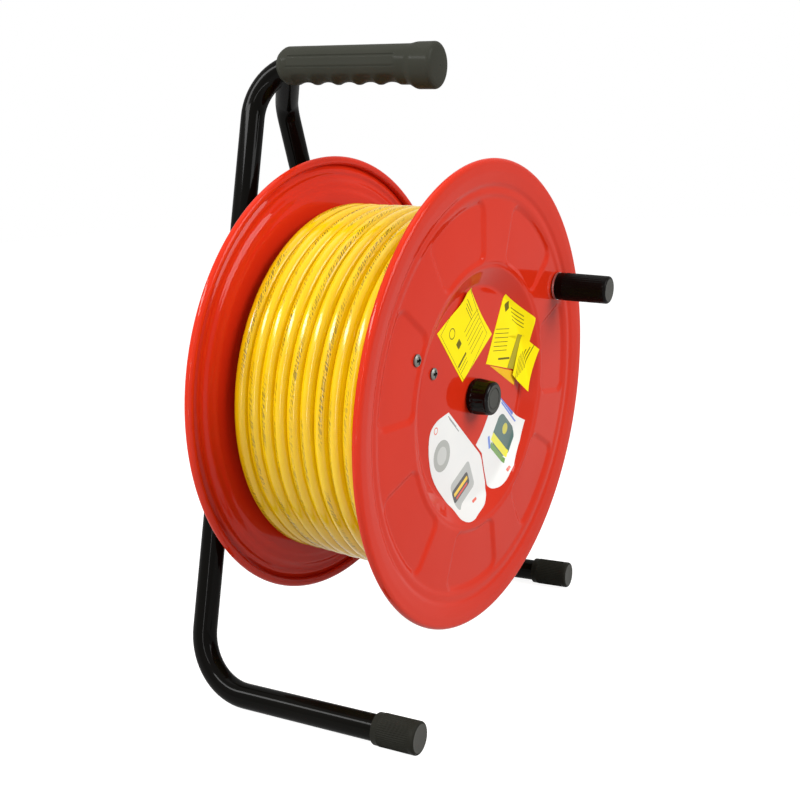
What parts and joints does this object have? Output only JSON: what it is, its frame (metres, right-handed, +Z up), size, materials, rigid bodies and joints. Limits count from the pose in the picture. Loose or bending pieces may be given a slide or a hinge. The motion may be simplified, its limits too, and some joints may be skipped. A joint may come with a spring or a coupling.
{
  "type": "extension cord reel",
  "caption": "Carry-along extension cord reel: red pressed-steel drum on a bent black tube stand, wound with yellow cord, with a winding knob and outlets on the back.",
  "frame": {"origin": "on the floor, in the middle of the bounding box's bottom", "axes": "+Z up, -Y towards the side with the winding knob, +X to the right when seen from that side"},
  "size_m": [0.3906, 0.2706, 0.5208],
  "materials": {
    "stand_paint": "gloss black paint on steel tube",
    "drum_paint": "gloss red paint on pressed steel",
    "bright_steel": "zinc-plated steel",
    "knob_plastic": "black moulded plastic",
    "grip_plastic": "dark grey soft plastic, fine grain",
    "cap_plastic": "black moulded plastic with ribs",
    "bush_plastic": "natural nylon",
    "cord_jacket": "yellow cord jacket, smooth",
    "plug_rubber": "black moulded rubber",
    "brass_pins": "nickel-free brass, polished",
    "outlet_plastic": "black moulded plastic",
    "button_plastic": "red button"
  },
  "bodies": {
    "stand": {"frame_tube_left": "stand_paint", "frame_tube_right": "stand_paint", "crossbar": "stand_paint", "axle": "bright_steel", "axle_washer_front": "bright_steel", "axle_washer_rear": "bright_steel", "axle_nut": "bright_steel", "hub_cap": "knob_plastic", "handle_grip": "grip_plastic", "foot_cap_left": "cap_plastic", "foot_cap_right": "cap_plastic"},
    "drum": {"front_flange": "drum_paint", "rear_flange": "drum_paint", "drum_core": "drum_paint", "front_bush": "bush_plastic", "rear_bush": "bush_plastic", "knob_stud": "bright_steel", "knob_washer": "bright_steel", "knob_clip": "bright_steel", "cord_outer_layer": "cord_jacket", "cord_inner_layers": "cord_jacket", "plug_body": "plug_rubber", "plug_pins": "brass_pins", "cord_clamp_bar": "bright_steel", "cord_clamp_screws": "bright_steel", "cord_clamp_nuts": "bright_steel", "outlet_plate": "outlet_plastic", "outlets": "outlet_plastic", "outlet_plate_screws": "bright_steel", "cutout_case": "outlet_plastic"},
    "winding_knob": {"winding_knob": "knob_plastic", "knob_end_cap": "knob_plastic"},
    "cutout_button": {"cutout_button": "button_plastic"}
  },
  "joints": [
    {"name": "drum_spin", "type": "hinge", "parent": "stand", "child": "drum", "pos_m": [0, 0.0027, 0.2366], "axis": [0.0612, 0.9966, 0.0559], "continuous": true},
    {"name": "winding_knob_spin", "type": "hinge", "parent": "drum", "child": "winding_knob", "pos_m": [0.12915, -0.10946, 0.30586], "axis": [0.0612, 0.9966, 0.0559], "continuous": true},
    {"name": "cutout_press", "type": "slide", "parent": "drum", "child": "cutout_button", "axis": [-0.0612, -0.9966, -0.0559], "range_m": [0, 0.003], "stiffness_N_per_m": 300}
  ]
}
